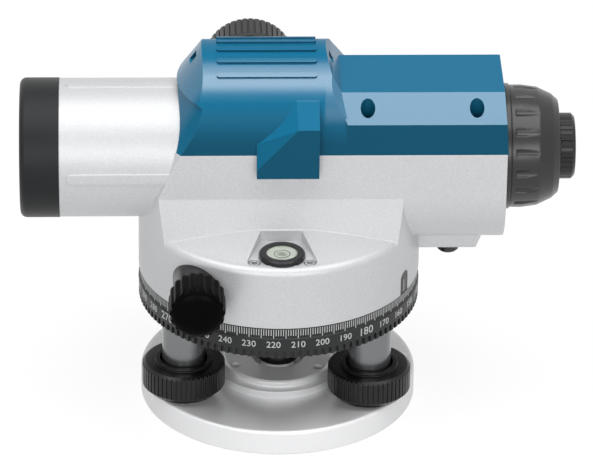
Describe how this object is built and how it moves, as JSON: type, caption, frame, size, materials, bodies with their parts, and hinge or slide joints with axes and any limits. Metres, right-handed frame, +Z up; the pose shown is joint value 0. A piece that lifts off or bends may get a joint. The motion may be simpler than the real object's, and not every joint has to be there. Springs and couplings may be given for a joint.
{
  "type": "automatic level",
  "caption": "Automatic optical level: telescope housing with a screwed-on cover, turning on a levelling base with foot screws, with a vial, slow-motion, focusing and eyepiece controls.",
  "frame": {"origin": "centre of the tripod thread's mouth in the base plate's underside, on the vertical axis", "axes": "+Z up along the vertical axis, +X along the telescope towards the eyepiece, -Y towards the circular vial, +Y towards the focusing knob"},
  "size_m": [0.2146, 0.1348, 0.1509],
  "materials": {
    "silver_paint": "satin silver paint on a light-alloy casting",
    "blue_cover": "satin petrol blue",
    "black_satin": "satin black",
    "black_knob": "black, half gloss",
    "black_metal": "black anodised",
    "base_alloy": "satin silver",
    "circle_black": "black with white graduations",
    "steel": "turned",
    "dark_steel": "turned, darkened",
    "brass": "turned",
    "cell_alloy": "black anodised",
    "screw_chrome": "bright",
    "glass": "coated optical glass",
    "vial_glass": "clear",
    "index_black": "gloss black"
  },
  "bodies": {
    "base": {"base_plate": "base_alloy", "centre_collar": "base_alloy", "spring_plate": "steel", "spring_plate_screws": "steel"},
    "foot_screw_rear": {"foot_knob_rear": "black_knob", "foot_spindle_rear": "dark_steel"},
    "foot_screw_left": {"foot_knob_left": "black_knob", "foot_spindle_left": "dark_steel"},
    "foot_screw_right": {"foot_knob_right": "black_knob", "foot_spindle_right": "dark_steel"},
    "head": {"head_plate": "black_metal", "centre_hub": "black_metal", "nut_sleeve_rear": "black_metal", "nut_sleeve_left": "black_metal", "nut_sleeve_right": "black_metal", "foot_nuts": "brass", "spindle": "steel", "spindle_retainer": "steel"},
    "circle": {"horizontal_circle": "circle_black"},
    "worm_wheel": {"worm_wheel": "brass", "clutch_washer": "steel"},
    "housing": {"housing": "silver_paint", "housing_floor": "cell_alloy", "floor_screws": "steel", "axis_bush": "brass", "index_mark": "index_black", "vial_holder": "black_knob", "vial_glass": "vial_glass", "vial_screws": "screw_chrome", "top_cover": "blue_cover", "cover_screws": "dark_steel", "lens_hood": "black_satin", "objective_cell": "cell_alloy", "objective_lens": "glass", "objective_ring": "cell_alloy", "focus_guide": "cell_alloy", "focus_bush": "brass", "compensator_frame": "cell_alloy", "damper_magnet": "dark_steel", "reticle_cell": "cell_alloy", "reticle_disc": "glass", "reticle_screw": "steel", "reticle_cap": "black_knob", "eyepiece_flange": "black_metal", "eyepiece_guard": "black_knob", "eyepiece_tube": "cell_alloy", "drive_bush_near": "black_knob", "drive_bush_far": "black_knob"},
    "drive_shaft": {"drive_shaft": "steel", "drive_knob_near": "black_knob", "drive_knob_far": "black_knob"},
    "focus_knob": {"focus_knob": "black_knob", "focus_pinion": "steel"},
    "focus_carriage": {"focus_cell": "cell_alloy", "focus_lens": "glass"},
    "diopter_ring": {"diopter_ring": "black_knob"},
    "eyepiece_slide": {"eyepiece_cell": "cell_alloy", "eyepiece_lens": "glass"},
    "compensator": {"pendulum": "cell_alloy", "compensator_prism": "glass"}
  },
  "joints": [
    {"name": "foot_turn_rear", "type": "hinge", "parent": "base", "child": "foot_screw_rear", "pos_m": [0.0022, 0.04194, 0.0085], "axis": [0, 0, 1], "range_deg": [-780, 780]},
    {"name": "foot_turn_left", "type": "hinge", "parent": "base", "child": "foot_screw_left", "pos_m": [-0.03742, -0.01907, 0.0085], "axis": [0, 0, 1], "range_deg": [-780, 780]},
    {"name": "foot_turn_right", "type": "hinge", "parent": "base", "child": "foot_screw_right", "pos_m": [0.03522, -0.02287, 0.0085], "axis": [0, 0, 1], "range_deg": [-780, 780]},
    {"name": "head_tilt", "type": "hinge", "parent": "base", "child": "head", "pos_m": [-0.0011, -0.021, 0.033], "axis": [0.9986, -0.0523, 0], "range_deg": [-2, 2]},
    {"name": "circle_turn", "type": "hinge", "parent": "head", "child": "circle", "pos_m": [0, 0, 0.0535], "axis": [0, 0, 1], "continuous": true},
    {"name": "slew", "type": "hinge", "parent": "head", "child": "worm_wheel", "pos_m": [0, 0, 0.0688], "axis": [0, 0, 1], "continuous": true},
    {"name": "fine_turn", "type": "hinge", "parent": "worm_wheel", "child": "housing", "pos_m": [0, 0, 0.0688], "axis": [0, 0, 1], "continuous": true},
    {"name": "drive_spin", "type": "hinge", "parent": "housing", "child": "drive_shaft", "pos_m": [-0.0326, 0, 0.0688], "axis": [0, 1, 0], "continuous": true},
    {"name": "focus_turn", "type": "hinge", "parent": "housing", "child": "focus_knob", "pos_m": [-0.0112, 0, 0.1231], "axis": [0, 1, 0], "range_deg": [-150, 150]},
    {"name": "focus_slide", "type": "slide", "parent": "housing", "child": "focus_carriage", "axis": [1, 0, 0], "range_m": [-0.00785, 0.00785]},
    {"name": "diopter_turn", "type": "hinge", "parent": "housing", "child": "diopter_ring", "pos_m": [0.11, 0, 0.1067], "axis": [1, 0, 0], "range_deg": [-180, 180]},
    {"name": "eyepiece_travel", "type": "slide", "parent": "housing", "child": "eyepiece_slide", "axis": [1, 0, 0], "range_m": [-0.00188, 0.00188]},
    {"name": "compensator_swing", "type": "hinge", "parent": "housing", "child": "compensator", "pos_m": [0.026, 0, 0.1175], "axis": [0, 1, 0], "range_deg": [-0.4, 0.4]}
  ],
  "couplings": [
    {"joint": "head_tilt", "follows": "foot_turn_rear", "ratio": -0.002526},
    {"joint": "drive_spin", "follows": "fine_turn", "ratio": -72},
    {"joint": "focus_turn", "follows": "focus_slide", "rad_per_m": -333.33},
    {"joint": "diopter_turn", "follows": "eyepiece_travel", "rad_per_m": -1666.7}
  ]
}
